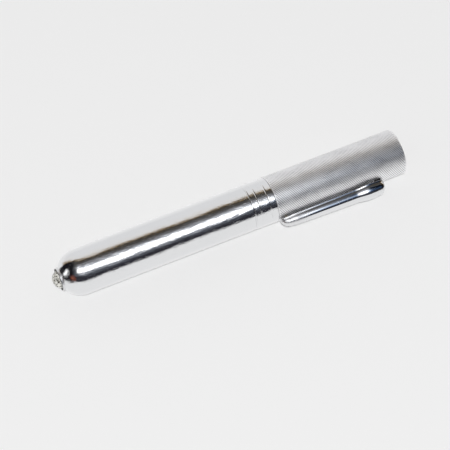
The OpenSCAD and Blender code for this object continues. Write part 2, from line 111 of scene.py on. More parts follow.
def finish_mesh(name, points, faces, crease=CREASE):
    """Closed smooth mesh with its doubled points merged and its normals outwards."""
    mesh = bpy.data.meshes.new(name)
    mesh.from_pydata([tuple(p) for p in points], [], faces)
    work = bmesh.new()
    work.from_mesh(mesh)
    bmesh.ops.remove_doubles(work, verts=work.verts, dist=MERGE)
    bmesh.ops.dissolve_degenerate(work, edges=work.edges, dist=SLIVER)
    bmesh.ops.recalc_face_normals(work, faces=work.faces)
    work.to_mesh(mesh)
    work.free()
    smooth(mesh, crease)
    return mesh


def arc(s, r, radius, start, end, steps):
    """Points of a turned outline on an arc, with angles counted from the tail's direction outwards."""
    angles = np.radians(np.linspace(start, end, steps + 1))
    return [(s + radius * math.cos(a), r + radius * math.sin(a)) for a in angles]


def turned(outline, segments, depth=None):
    """Points and faces of a closed outline of (s, r) turned round the torch's axis.

    Where depth is given, each point is sunk by depth(s, r, angle).
    """
    angles = np.linspace(0, 2 * math.pi, segments, endpoint=False)
    points = []
    for s, r in outline:
        for a in angles:
            sunk = r - depth(s, r, a) if depth else r
            points.append(torch_point(s, sunk * math.cos(a), sunk * math.sin(a)))
    rows = len(outline)
    faces = []
    for i in range(rows):
        here, there = i * segments, (i + 1) % rows * segments
        for j in range(segments):
            k = (j + 1) % segments
            faces.append((here + j, here + k, there + k, there + j))
    return points, faces


# Barrel: a drawn tube with a round nose, a lip at the lamp and rolled rings
BARREL_WALL = 0.45 * MM
LAMP_HOLE_R = 3.75 * MM
LIP_PROUD = 0.8 * MM
LIP_WALL = 0.28 * MM
LIP_ROUND = 0.2 * MM
LIP_R = LAMP_HOLE_R + LIP_WALL
NOSE_S = LIP_PROUD + math.sqrt(BARREL_R**2 - LAMP_HOLE_R**2)
NOSE_FILLET = 0.3 * MM
FILLET_START_SHARE = 1.2
FILLET_AHEAD_SHARE = 0.4
FILLET_RISE_SHARE = 0.3
COLLAR_RISE = 0.08 * MM
COLLAR_R = BARREL_R + COLLAR_RISE
BACK_EDGE_ROUND = 0.12 * MM
BARREL_SEGMENTS = 192
LIP_STEPS = 5
DOME_STEPS = 40
HOLLOW_STEPS = 16
EDGE_STEPS = 4

# Each rolled ring has its distance from the barrel's end and its depth
DEEP_RING = (8.6 * MM, 0.22 * MM)
FINE_RINGS = ((6.2 * MM, 0.1 * MM), (2.4 * MM, 0.1 * MM))
ROLLER_R = 0.35 * MM
RING_SHOULDER = 0.08 * MM
RING_STEPS = 8


def ring_groove(back, depth, surface_r):
    """Points of a rolled ring, from its nose side to its tail side."""
    middle_s = BARREL_END_S - back
    middle_r = surface_r + ROLLER_R - depth
    half = math.degrees(math.acos((ROLLER_R - depth) / ROLLER_R))
    reach = ROLLER_R * math.sin(math.radians(half)) + RING_SHOULDER
    points = [(middle_s - reach, surface_r)]
    points += arc(middle_s, middle_r, ROLLER_R, 270 - half, 270 + half, RING_STEPS)
    return points + [(middle_s + reach, surface_r)]


def nose_outline():
    """Outside of the lip and the nose, from the lamp hole to the barrel's full width."""
    dome_start = 180 - math.degrees(math.asin((LIP_R + NOSE_FILLET) / BARREL_R))
    lip_end_s = NOSE_S + BARREL_R * math.cos(math.radians(dome_start))
    fillet_s = lip_end_s - FILLET_AHEAD_SHARE * NOSE_FILLET
    fillet_r = LIP_R + FILLET_RISE_SHARE * NOSE_FILLET
    outline = [(0, LAMP_HOLE_R)]
    outline += arc(LIP_ROUND, LIP_R - LIP_ROUND, LIP_ROUND, 180, 90, LIP_STEPS)
    outline += [(lip_end_s - FILLET_START_SHARE * NOSE_FILLET, LIP_R), (fillet_s, fillet_r)]
    return outline + arc(NOSE_S, 0, BARREL_R, dome_start, 90, DOME_STEPS)


def back_outline():
    """Outside of the barrel's back end, over its rings to its rounded edge."""
    outline = ring_groove(*DEEP_RING, BARREL_R)
    for back, depth in FINE_RINGS:
        outline += ring_groove(back, depth, COLLAR_R)
    edge_s = BARREL_END_S - BACK_EDGE_ROUND
    outline += [(edge_s - BACK_EDGE_ROUND, COLLAR_R)]
    return outline + arc(edge_s, COLLAR_R - BACK_EDGE_ROUND, BACK_EDGE_ROUND, 90, 0, EDGE_STEPS)


def make_barrel():
    inside_r = BARREL_R - BARREL_WALL
    hollow_end = 180 - math.degrees(math.asin(LIP_R / inside_r))
    outline = nose_outline() + back_outline()
    outline += [(BARREL_END_S, inside_r), (NOSE_S, inside_r)]
    outline += arc(NOSE_S, 0, inside_r, 90, hollow_end, HOLLOW_STEPS)[1:]
    outline += [(LIP_PROUD + LIP_ROUND, LAMP_HOLE_R)]
    mesh = finish_mesh("barrel", *turned(outline, BARREL_SEGMENTS))
    return new_piece("barrel", mesh, "barrel", "barrel_chrome", "body_tube")


# Cap: a closed tube with fine slanting lines on its side, which run out at both rims
CAP_FIT = 0.03 * MM
CAP_INSIDE_R = SLEEVE_R + CAP_FIT
CAP_FRONT_ROUND = 0.1 * MM
CAP_EDGE_ROUND = 0.45 * MM
CAP_EDGE_STEPS = 6
FRONT_RIM = 0.15 * MM
BACK_RIM = 0.4 * MM
LINE_RUN = 0.3 * MM
LINE_STARTS = 40
LINE_SLOPE = 0.56
LINE_PITCH = 2 * math.pi * CAP_R * LINE_SLOPE / LINE_STARTS
LINE_DEPTH = 0.03 * MM
LINE_SHARE = 0.9
LINE_STEPS = 5

# Painted shade and grime in the lines, by their share of full depth where it starts and where it is full
SHADE_AND_DIRT_START_SHARE = 0.45
SHADE_AND_DIRT_FULL_SHARE = 0.75
PLAIN_DIRT = 0.35

# Slot in the cap's side that the clip's foot comes out of
SLOT_LENGTH = 1.44 * MM
SLOT_WIDTH = 3.94 * MM
SLOT_REACH_SHARES = (0.5, 1.5)


def line_cut(s, angle):
    """Share of full depth to which a line, climbing round the cap, cuts its side at a place."""
    phase = ((s - CAP_S) / LINE_PITCH + LINE_STARTS * angle / (2 * math.pi)) % 1
    from_front = s - CAP_S - FRONT_RIM
    from_back = TAIL_S - BACK_RIM - s
    rise = min(from_front / LINE_RUN, from_back / LINE_RUN, 1)
    return max(rise, 0) * max(1 - abs(phase - 0.5) * 2 / LINE_SHARE, 0)


def line_depth(s, r, angle):
    """How far a point of the cap's outline is sunk at an angle."""
    return LINE_DEPTH * line_cut(s, angle) if r > CAP_R - CAP_EDGE_ROUND else 0


def mark_lines(mesh):
    """Keeps how much painted shade and grime each point of the cap holds, by its depth in a line or evenly off the
    side.
    """
    marks = mesh.attributes.new("line", "FLOAT", "POINT")
    for i, vertex in enumerate(mesh.vertices):
        r = math.hypot(vertex.co.y - AXIS.y, vertex.co.z - AXIS.z)
        sunk = (CAP_R - r) / LINE_DEPTH
        held = (sunk - SHADE_AND_DIRT_START_SHARE) / (SHADE_AND_DIRT_FULL_SHARE - SHADE_AND_DIRT_START_SHARE)
        on_side = r > CAP_R - 2 * LINE_DEPTH
        marks.data[i].value = min(max(held, 0), 1) if on_side else PLAIN_DIRT


def slot_block():
    """Block in the place of the slot."""
    corners = [
        torch_point(HINGE_S + along * SLOT_LENGTH / 2, CAP_R * out, across * SLOT_WIDTH / 2)
        for along in (-1, 1) for out in SLOT_REACH_SHARES for across in (-1, 1)
    ]
    faces = [(0, 1, 3, 2), (4, 6, 7, 5), (0, 4, 5, 1), (2, 3, 7, 6), (0, 2, 6, 4), (1, 5, 7, 3)]
    block = bpy.data.objects.new("slot_block", finish_mesh("slot_block", corners, faces))
    scene.collection.objects.link(block)
    return block


def cut_slot(cap):
    block = slot_block()
    cut = cap.modifiers.new("slot", "BOOLEAN")
    cut.operation = "DIFFERENCE"
    cut.solver = "EXACT"
    cut.object = block
    bpy.context.view_layer.update()
    evaluated = cap.evaluated_get(bpy.context.evaluated_depsgraph_get())
    made = bpy.data.meshes.new_from_object(evaluated)
    cap.modifiers.clear()
    cap.data = made
    smooth(made)
    bpy.data.objects.remove(block)


def make_cap():
    side_start = CAP_S + CAP_FRONT_ROUND
    side_end = TAIL_S - CAP_EDGE_ROUND
    first = math.ceil(CAP_FRONT_ROUND / LINE_PITCH * LINE_STEPS)
    last = int((side_end - CAP_S) / LINE_PITCH * LINE_STEPS)
    outline = [(CAP_S, CAP_INSIDE_R)]
    outline += arc(side_start, CAP_R - CAP_FRONT_ROUND, CAP_FRONT_ROUND, 180, 90, EDGE_STEPS)
    outline += [(CAP_S + i * LINE_PITCH / LINE_STEPS, CAP_R) for i in range(first + 1, last)]
    outline += arc(side_end, CAP_R - CAP_EDGE_ROUND, CAP_EDGE_ROUND, 90, 0, CAP_EDGE_STEPS)
    outline += [(TAIL_S, 0), (CAP_END_S, 0), (CAP_END_S, CAP_INSIDE_R)]
    mesh = finish_mesh("cap", *turned(outline, LINE_STARTS * LINE_STEPS, line_depth))
    mark_lines(mesh)
    cap = new_piece("cap", mesh, "cap", "cap_chrome", "cap_shell")
    cut_slot(cap)
    return cap


# Clip: a pressed, round-backed strip with rolled, beaded edges and a swelling near its root
CLIP_LIFT = 0.6 * MM
CLIP_EDGE_R = CAP_R + CLIP_LIFT
ROOT_R = 2.9 * MM
ROOT_S = CLIP_END_S - ROOT_R
STRAP_R = 2.3 * MM
TIP_R = 2.0 * MM
TIP_ROUND = 3.4 * MM
TIP_ROUND_S = CLIP_TIP_S + TIP_ROUND
TIP_LENGTH = 6.0 * MM
STRAP_S = CLIP_TIP_S + TIP_LENGTH
SWELL_BACK = 6.6 * MM
SWELL_S = CLIP_END_S - SWELL_BACK
SWELL_HALF = 5.6 * MM
SWELL_RISE = 0.5 * MM
CLIP_WALL = 0.55 * MM
EDGE_ROLL = 0.16 * MM
EDGE_ROLL_SHARE = 0.2
BEAD_OUT = 0.06 * MM
BEAD_TURN = (180.0, 36.0)
FLANK_RISE = 0.95 * MM
FLANK_RISE_SHARE = 0.5
SECTION_STEPS = 10
END_STATIONS = 15
STRAP_STATIONS = 90

# Arcs from the clip's flank to its crown: the angles of their ends off the crown, and their
# radii as shares of the half width
SECTION_ARCS = ((88, 63, 1.45), (63, 48, 0.56), (48, 0, 1.03))


def clip_half_width(s):
    """Half width of the clip between its rounded ends, with the swelling."""
    if s < STRAP_S:
        share = (s - TIP_ROUND_S) / (STRAP_S - TIP_ROUND_S)
        return TIP_R + (STRAP_R - TIP_R) * math.sin(share * math.pi / 2)
    taper = STRAP_R + (ROOT_R - STRAP_R) * (s - STRAP_S) / (ROOT_S - STRAP_S)
    share = (s - SWELL_S) / SWELL_HALF
    return taper + (SWELL_RISE * (1 + math.cos(math.pi * share)) / 2 if abs(share) < 1 else 0)


def clip_stations(inset):
    """Places and half widths along the clip from tip to root end, drawn in by inset for its hollow."""
    root_half = clip_half_width(ROOT_S) - inset
    stations = []
    for a in np.radians(np.linspace(90, 0, END_STATIONS)[:-1]):
        stations.append((TIP_ROUND_S - (TIP_ROUND - inset) * math.sin(a), (TIP_R - inset) * math.cos(a)))
    for s in np.linspace(TIP_ROUND_S, ROOT_S, STRAP_STATIONS):
        stations.append((s, clip_half_width(s) - inset))
    for a in np.radians(np.linspace(0, 90, END_STATIONS)[1:]):
        stations.append((ROOT_S + (ROOT_R - inset) * math.sin(a), root_half * math.cos(a)))
    return stations


def clip_edge(half, rolled):
    """Points of the edge of the clip's section, rolled outside and plain in the hollow."""
    roll = min(EDGE_ROLL, EDGE_ROLL_SHARE * half)
    bead = half - roll + min(BEAD_OUT, roll)
    turn = np.radians(np.linspace(*BEAD_TURN, SECTION_STEPS))
    return [(bead + roll * math.sin(a) if rolled else half, roll + roll * math.cos(a)) for a in turn]


def clip_side(half, rolled):
    """Half of the clip's section as (across, out) points, from its edge up its flank to its crown."""
    across, out = half, min(FLANK_RISE, FLANK_RISE_SHARE * half)
    points = clip_edge(half, rolled) + [(across, out)]
    for start, end, share in SECTION_ARCS:
        radius = share * half
        angles = np.radians(np.linspace(start, end, SECTION_STEPS))
        middle_across = across - radius * math.sin(angles[0])
        middle_out = out - radius * math.cos(angles[0])
        for a in angles[1:]:
            points.append((middle_across + radius * math.sin(a), middle_out + radius * math.cos(a)))
        across, out = points[-1]
    points[-1] = (0, out)
    return points


def clip_section(s, half, rolled):
    """Points across the clip at a place, from one edge over its crown to the other edge."""
    side = clip_side(half, rolled)
    right = [torch_point(s, CLIP_EDGE_R + out, across) for across, out in side]
    left = [torch_point(s, CLIP_EDGE_R + out, -across) for across, out in side[-2::-1]]
    return right + left


def clip_faces(along, across):
    """Faces between the rows of points of the clip's outside and hollow, and along their edges."""
    faces = []
    for layer in (0, along * across):
        for i in range(along - 1):
            for j in range(across - 1):
                a = layer + i * across + j
                faces.append((a, a + 1, a + across + 1, a + across))
    for i in range(along - 1):
        for j in (0, across - 1):
            a, b = i * across + j, (i + along) * across + j
            faces.append((a, a + across, b + across, b))
    return faces


def make_clip():
    outside = [clip_section(s, half, True) for s, half in clip_stations(0)]
    inside = [clip_section(s, half, False) for s, half in clip_stations(CLIP_WALL)]
    points = [p for section in outside + inside for p in section]
    mesh = finish_mesh("clip", points, clip_faces(len(outside), len(outside[0])), CLIP_CREASE)
    return new_piece("clip", mesh, "clip", "clip_chrome", "pocket_clip")


# Eye under the clip's root that turns on the foot's bar, with the web that carries it
EYE_R = 1.09 * MM
EYE_BORE_R = 0.64 * MM
EYE_WIDTH = 3 * MM
EYE_MOUTH = 62.0
WEB_LENGTH = 1.2 * MM
WEB_BITE = 0.15 * MM
EYE_STEPS = 12


def eye_arc(r, start, end):
    """Points on an arc round the eye's middle, along the torch and out from it."""
    angles = np.radians(np.linspace(start, end, EYE_STEPS))
    return [(r * math.cos(a), r * math.sin(a)) for a in angles]


def eye_outline():
    """Outline of the eye and its web, round the outside from its mouth and back along the bore."""
    web = math.degrees(math.acos(WEB_LENGTH / 2 / EYE_R))
    hollow_top = CLIP_EDGE_R + clip_side(ROOT_R - CLIP_WALL, False)[-1][1]
    web_top = hollow_top + WEB_BITE - HINGE_R
    mouth_start, mouth_end = EYE_MOUTH / 2 - 90, 270 - EYE_MOUTH / 2
    outline = eye_arc(EYE_R, mouth_start, web)
    outline += [(WEB_LENGTH / 2, web_top), (-WEB_LENGTH / 2, web_top)]
    outline += eye_arc(EYE_R, 180 - web, mouth_end)
    return outline + eye_arc(EYE_BORE_R, mouth_end, 90) + eye_arc(EYE_BORE_R, 90, mouth_start)[1:]


def make_eye():
    outline = eye_outline()
    sides = (-EYE_WIDTH / 2, EYE_WIDTH / 2)
    points = [torch_point(HINGE_S + x, HINGE_R + y, z) for z in sides for x, y in outline]
    n = len(outline)
    faces = [(i, (i + 1) % n, n + (i + 1) % n, n + i) for i in range(n)]
    faces += [tuple(range(n)), tuple(range(n, 2 * n))]
    mesh = finish_mesh("clip_eye", points, faces)
    return new_piece("clip_eye", mesh, "clip", "clip_chrome")


# Nodes that the finishes and the studio are made of
EVEN = (1, 1, 1)


def grey(tone):
    return (tone, tone, tone)


def material(name, color, metallic, roughness):
    """New material with plain values, which nodes may take the place of."""
    made = bpy.data.materials.new(name)
    made.use_nodes = True
    shader = made.node_tree.nodes["Principled BSDF"]
    shader.inputs["Base Color"].default_value = (*color, 1)
    shader.inputs["Metallic"].default_value = metallic
    shader.inputs["Roughness"].default_value = roughness
    return made


def put_finish(piece, finish):
    piece.data.materials.clear()
    piece.data.materials.append(finish)


def shader_link(made, socket, value):
    made.node_tree.links.new(value, made.node_tree.nodes["Principled BSDF"].inputs[socket])


def node(tree, kind, **values):
    """New node of a kind, with its inputs set by name and its other settings by attribute."""
    made = tree.nodes.new(kind)
    for key, value in values.items():
        if key in made.inputs:
            made.inputs[key].default_value = value
        else:
            setattr(made, key, value)
    return made


def noise(tree, size, stretch=EVEN, detail=3.0, rough=0.5):
    """Noise in the object's own coordinates, with features about size metres wide."""
    place = node(tree, "ShaderNodeTexCoord")
    mapping = node(tree, "ShaderNodeMapping", Scale=stretch)
    texture = node(tree, "ShaderNodeTexNoise", Scale=1 / size, Detail=detail, Roughness=rough)
    tree.links.new(place.outputs["Object"], mapping.inputs["Vector"])
    tree.links.new(mapping.outputs["Vector"], texture.inputs["Vector"])
    return texture.outputs["Fac"]


def ranged(tree, value, low, high, to_low, to_high):
    """Value taken from one range to another, held at the ends."""
    made = node(tree, "ShaderNodeMapRange")
    for key, limit in zip(("From Min", "From Max", "To Min", "To Max"), (low, high, to_low, to_high)):
        made.inputs[key].default_value = limit
    tree.links.new(value, made.inputs["Value"])
    return made.outputs["Result"]


def fading(tree, limits, most):
    """Value that falls from its most to none between two places along the torch."""
    place = node(tree, "ShaderNodeSeparateXYZ")
    tree.links.new(node(tree, "ShaderNodeTexCoord").outputs["Object"], place.inputs["Vector"])
    return ranged(tree, place.outputs["X"], LIP_X + limits[0], LIP_X + limits[1], most, 0)


def tint(tree, value, *colors):
    """Colour between two colours, each a tone or the output of a node, by a value from 0 to 1."""
    made = node(tree, "ShaderNodeMix", data_type="RGBA")
    for socket, color in zip([i for i in made.inputs if i.type == "RGBA"], colors):
        if isinstance(color, tuple):
            socket.default_value = (*color, 1)
        else:
            tree.links.new(color, socket)
    tree.links.new(value, made.inputs["Factor"])
    return [o for o in made.outputs if o.type == "RGBA"][0]


def bump(tree, height, distance, strength, under=None):
    made = node(tree, "ShaderNodeBump", Strength=strength, Distance=distance)
    tree.links.new(height, made.inputs["Height"])
    if under:
        tree.links.new(under, made.inputs["Normal"])
    return made.outputs["Normal"]


def math_node(tree, operation, *values):
    made = node(tree, "ShaderNodeMath", operation=operation)
    for i, value in enumerate(values):
        tree.links.new(value, made.inputs[i])
    return made.outputs["Value"]


def mixed_shader(tree, factor, low, high):
    made = node(tree, "ShaderNodeMixShader")
    tree.links.new(factor, made.inputs["Fac"])
    tree.links.new(low.outputs[0], made.inputs[1])
    tree.links.new(high.outputs[0], made.inputs[2])
    return made


def along_direction(tree, direction, wanted):
    """How far a direction or a place lies along another direction."""
    made = node(tree, "ShaderNodeVectorMath", operation="DOT_PRODUCT")
    made.inputs[1].default_value = wanted
    tree.links.new(direction, made.inputs[0])
    return made.outputs["Value"]


def tones_along(tree, value, tones):
    """Colour that runs through tones given at values of an input."""
    low, high = tones[0][0], tones[-1][0]
    ramp = node(tree, "ShaderNodeValToRGB")
    stops = ramp.color_ramp.elements
    while len(stops) > 1:
        stops.remove(stops[-1])
    for i, (at, color) in enumerate(tones):
        place = (at - low) / (high - low)
        stop = stops[0] if i == 0 else stops.new(place)
        stop.position = place
        stop.color = (*color, 1)
    tree.links.new(ranged(tree, value, low, high, 0, 1), ramp.inputs["Fac"])
    return ramp.outputs["Color"]


# Polished plate: uneven, rubbed, specked and stained, with a dull end and a painted shadow line at the nose lip's
# front edge
PLATE = (0.84, 0.85, 0.86)
PLATE_ROUGHNESS = 0.06
SPECKS = {"size": 0.8 * MM, "stretch": (0.5, 1, 1), "detail": 5, "rough": 0.7}
SPECK_LIMITS = (0.53, 0.65)
SPECK_ROUGHNESS = (0.03, 0.26)
STAINS = {"size": 9 * MM, "stretch": (0.4, 1, 1)}
STAIN_TONES = ((0.71, 0.72, 0.73), (0.76, 0.76, 0.77))
# Painted shadow line at the nose lip's front edge, where the glass comes out: fully dark up to the first place,
# gone by the second, and its dark tone
PAINTED_LIP_SHADE = (0.08 * MM, 0.22 * MM)
PAINTED_LIP_SHADE_TONE = grey(0.10)
BARREL_WAVE = 0.8
DULL_LIP = (0.9 * MM, 1.3 * MM)
DULL_LIP_ROUGHNESS = 0.4
CLIP_WAVE = 0.05
DULL_TIP_LENGTH = 6 * MM
DULL_TIP_RUN = 10 * MM
DULL_TIP = (CLIP_TIP_S + DULL_TIP_LENGTH, CLIP_TIP_S + DULL_TIP_LENGTH + DULL_TIP_RUN)
DULL_TIP_ROUGHNESS = 0.36

# Waves, ripples and rubbing marks of the plate: size, scale along the torch, detail and
# roughness of their noise, and height
UNEVENNESS = (
    (12 * MM, 0.6, 1, 0.5, 0.3 * MM),
    (1.8 * MM, 0.35, 3, 0.5, 0.11 * MM),
    (0.5 * MM, 0.2, 5, 0.7, 0.055 * MM),
)


def polished_chrome(name, wave, dull, dulled):
    """Old bright plate, uneven by a strength, with a dull front that fades between two places."""
    made = material(name, PLATE, 1, PLATE_ROUGHNESS)
    tree = made.node_tree
    specked = ranged(tree, noise(tree, **SPECKS), *SPECK_LIMITS, *SPECK_ROUGHNESS)
    shader_link(made, "Roughness", math_node(tree, "MAXIMUM", specked, fading(tree, dull, dulled)))
    stain = tint(tree, noise(tree, **STAINS), *STAIN_TONES)
    # Base colour: stains, with the painted shadow line darkening the nose lip's front edge
    shader_link(made, "Base Color", tint(tree, fading(tree, PAINTED_LIP_SHADE, 1), stain, PAINTED_LIP_SHADE_TONE))
    normal = None
    for size, scale, detail, rough, height in UNEVENNESS:
        normal = bump(tree, noise(tree, size, (scale, 1, 1), detail, rough), height, wave, normal)
    shader_link(made, "Normal", normal)
    return made


# Satin plate of the lined cap: brushed round, worn in patches, with painted shade and grime in its lines
SATIN = (0.78, 0.79, 0.80)
SATIN_METALLIC = 0.93
SATIN_PLAIN_ROUGHNESS = 0.4
SATIN_ROUGHNESS = (0.37, 0.45)
SATIN_ROUGHNESS_LIMITS = (0.3, 0.7)
SATIN_BRUSHED = 0.5
WEAR = {"size": 3 * MM, "stretch": (0.5, 1, 1), "detail": 4, "rough": 0.6}
WEAR_LIMITS = (0.35, 0.6)
WORN_SHADE_AND_DIRT = (1, 0.6)
CLEAN_TONE = (0.99, 0.99, 1.0)
# Tone in the lines, for painted shade and grime
LINE_TONE = (0.27, 0.27, 0.28)
SATIN_GRAIN = {"size": 0.3 * MM}

# Height and strength of the fine grain of dull metals
METAL_GRAIN_HEIGHT = 0.004 * MM
METAL_GRAIN_STRENGTH = 0.5


def satin_chrome(name):
    made = material(name, SATIN, SATIN_METALLIC, SATIN_PLAIN_ROUGHNESS)
    tree = made.node_tree
    worn = noise(tree, **WEAR)
    shader_link(made, "Roughness", ranged(tree, worn, *SATIN_ROUGHNESS_LIMITS, *SATIN_ROUGHNESS))
    round_cap = node(tree, "ShaderNodeTangent", direction_type="RADIAL", axis="X")
    shader_link(made, "Tangent", round_cap.outputs["Tangent"])
    tree.nodes["Principled BSDF"].inputs["Anisotropic"].default_value = SATIN_BRUSHED
    lines = node(tree, "ShaderNodeAttribute", attribute_name="line").outputs["Fac"]
    # Painted shade and grime: the lines are darkened by their depth, less in worn patches
    line_shade_and_dirt = math_node(tree, "MULTIPLY", lines, ranged(tree, worn, *WEAR_LIMITS, *WORN_SHADE_AND_DIRT))
    shader_link(made, "Base Color", tint(tree, line_shade_and_dirt, CLEAN_TONE, LINE_TONE))
    grain = noise(tree, **SATIN_GRAIN)
    shader_link(made, "Normal", bump(tree, grain, METAL_GRAIN_HEIGHT, METAL_GRAIN_STRENGTH))
    return made


# Plain metals: tarnished tone, bright tone, roughness and, where it is drawn, stretch of the grain
PLAIN_METALS = {
    "brass": ((0.60, 0.44, 0.20), (0.75, 0.58, 0.28), 0.28, (0.2, 1, 1)),
    "solder": ((0.42, 0.43, 0.45), (0.66, 0.67, 0.69), 0.45),
    "wire": ((0.40, 0.41, 0.43), (0.62, 0.63, 0.65), 0.25),
    "zinc": ((0.40, 0.42, 0.45), (0.60, 0.62, 0.64), 0.5),
    "tinplate": ((0.60, 0.61, 0.63), (0.78, 0.79, 0.80), 0.25),
}
TARNISH = {"size": 2.5 * MM, "detail": 5}
TARNISH_LIMITS = (0.35, 0.7)
METAL_GRAIN_SIZE = 0.25 * MM
METAL_GRAIN_LIMITS = (0.3, 0.7)
METAL_ROUGHNESS_SHARES = (0.8, 1.3)


def plain_metal(name, low_color, high_color, roughness, stretch=EVEN):
    """Unplated metal with a little tarnish and a drawn or turned grain."""
    made = material(name, high_color, 1, roughness)
    tree = made.node_tree
    tarnish = ranged(tree, noise(tree, **TARNISH), *TARNISH_LIMITS, 0, 1)
    shader_link(made, "Base Color", tint(tree, tarnish, low_color, high_color))
    grain = noise(tree, METAL_GRAIN_SIZE, stretch)
    limits = [share * roughness for share in METAL_ROUGHNESS_SHARES]
    shader_link(made, "Roughness", ranged(tree, grain, *METAL_GRAIN_LIMITS, *limits))
    shader_link(made, "Normal", bump(tree, grain, METAL_GRAIN_HEIGHT, METAL_GRAIN_STRENGTH))
    return made


# Mouldings, paper and fibre: fleck's tone, main tone, roughness and size of the flecks
MOULDINGS = {
    "fibre": ((0.25, 0.11, 0.07), (0.42, 0.22, 0.14), 0.75, 0.5 * MM),
    "black_insulator": ((0.012, 0.012, 0.013), (0.035, 0.034, 0.034), 0.35, 0.8 * MM),
    "jacket": ((0.05, 0.10, 0.20), (0.08, 0.15, 0.28), 0.45, 1.5 * MM),
    "seal": ((0.02, 0.016, 0.014), (0.06, 0.045, 0.04), 0.6, 0.6 * MM),
}
FLECKS = {"detail": 6, "rough": 0.65}
FLECK_LIMITS = (0.35, 0.65)
FLECK_ROUGHNESS_LIMITS = (0.3, 0.7)
FLECK_ROUGHNESS_SHARES = (0.85, 1.15)
MOULDED_GRAIN = {"size": 0.3 * MM, "detail": 4}
MOULDED_GRAIN_HEIGHT = 0.01 * MM
MOULDED_GRAIN_STRENGTH = 0.4


def moulded(name, low_color, high_color, roughness, fleck):
    """Moulding, paper or fibre with flecks of another tone and a fine surface grain."""
    made = material(name, high_color, 0, roughness)
    tree = made.node_tree
    flecks = noise(tree, fleck, **FLECKS)
    shown = ranged(tree, flecks, *FLECK_LIMITS, 0, 1)
    shader_link(made, "Base Color", tint(tree, shown, low_color, high_color))
    limits = [share * roughness for share in FLECK_ROUGHNESS_SHARES]
    shader_link(made, "Roughness", ranged(tree, flecks, *FLECK_ROUGHNESS_LIMITS, *limits))
    grain = noise(tree, **MOULDED_GRAIN)
    shader_link(made, "Normal", bump(tree, grain, MOULDED_GRAIN_HEIGHT, MOULDED_GRAIN_STRENGTH))
    return made


# Glass: old and blown, with waves and patches of haze
GLASS = (0.95, 0.94, 0.88)
GLASS_PLAIN_ROUGHNESS = 0.06
GLASS_IOR = 1.5
GLASS_CLEARNESS = (0.95, 0.25)
GLASS_CLEARNESS_LIMITS = (0.4, 0.6)
GLASS_ROUGHNESS = (0.03, 0.15)
GLASS_ROUGHNESS_LIMITS = (0.4, 0.7)
HAZE = {"size": 1.1 * MM, "detail": 2, "rough": 0.6}
GLASS_WAVES = {"size": 0.9 * MM, "detail": 2}
GLASS_WAVE_HEIGHT = 0.3 * MM
GLASS_WAVE_STRENGTH = 0.6


def clear_glass(name):
    made = material(name, GLASS, 0, GLASS_PLAIN_ROUGHNESS)
    tree = made.node_tree
    tree.nodes["Principled BSDF"].inputs["IOR"].default_value = GLASS_IOR
    haze = noise(tree, **HAZE)
    clearness = ranged(tree, haze, *GLASS_CLEARNESS_LIMITS, *GLASS_CLEARNESS)
    shader_link(made, "Transmission Weight", clearness)
    shader_link(made, "Roughness", ranged(tree, haze, *GLASS_ROUGHNESS_LIMITS, *GLASS_ROUGHNESS))
    waves = noise(tree, **GLASS_WAVES)
    shader_link(made, "Normal", bump(tree, waves, GLASS_WAVE_HEIGHT, GLASS_WAVE_STRENGTH))
    return made


def dress_nodes():
    """Finish of every CAD node that stays in view, by its material slot in the record."""
    finishes = {"glass": clear_glass("glass")}
    for name, values in PLAIN_METALS.items():
        finishes[name] = plain_metal(name, *values)
    for name, values in MOULDINGS.items():
        finishes[name] = moulded(name, *values)
    for part in frame["record"]["subparts"]:
        if part["material_slot"] in finishes:
            put_finish(nodes[part["node"]], finishes[part["material_slot"]])


# Camera: it looks at a place on the torch from an angle, at the photograph's scale
VIEW_AZIMUTH = -24.7
VIEW_ELEVATION = 56.0
VIEW_DISTANCE = 0.70
VIEW_TARGET = Vector((-0.0027, -0.0010, 0.0083))
VIEW_NEAREST = 0.01
VIEW_FARTHEST = 20.0
PIXELS_PER_METRE = 2844.0
IMAGE_SIDE = 450


def view_back(elevation):
    """Direction from the torch towards the camera's side, at an elevation."""
    azimuth = math.radians(VIEW_AZIMUTH)
    level = math.cos(math.radians(elevation))
    rise = math.sin(math.radians(elevation))
    return Vector((math.sin(azimuth) * level, -math.cos(azimuth) * level, rise))


def view_right():
    """Level direction to the right of the camera."""
    azimuth = math.radians(VIEW_AZIMUTH)
    return Vector((math.cos(azimuth), math.sin(azimuth), 0))


def make_camera():
    back = view_back(VIEW_ELEVATION)
    data = bpy.data.cameras.new("camera")
    data.lens = data.sensor_width * PIXELS_PER_METRE * VIEW_DISTANCE / IMAGE_SIDE
    data.clip_start = VIEW_NEAREST
    data.clip_end = VIEW_FARTHEST
    camera = bpy.data.objects.new("camera", data)
    camera.location = VIEW_TARGET + back * VIEW_DISTANCE
    camera.rotation_mode = "QUATERNION"
    camera.rotation_quaternion = (-back).to_track_quat("-Z", "Y")
    scene.collection.objects.link(camera)
    scene.camera = camera


# Stage pieces: flat sheets, most of which only polished surfaces see
def stage_sheet(name, *corners):
    """Flat stage piece between corners, given in turn."""
    mesh = bpy.data.meshes.new(name)
    mesh.from_pydata([tuple(c) for c in corners], [], [tuple(range(len(corners)))])
    sheet = bpy.data.objects.new(name, mesh)
    scene.collection.objects.link(sheet)
    return sheet


def oblong(middle, side, up, lows, highs):
    """Corners of an oblong, from its low to its high limits along two directions from a middle."""
    (left, bottom), (right, top) = lows, highs
    places = ((left, bottom), (right, bottom), (right, top), (left, top))
    return [middle + side * x + up * y for x, y in places]


def only_mirrored(sheet):
    """Leaves a stage piece to polished surfaces alone."""
    sheet.visible_camera = False
    sheet.visible_diffuse = False
    sheet.visible_shadow = False
    sheet.visible_transmission = False


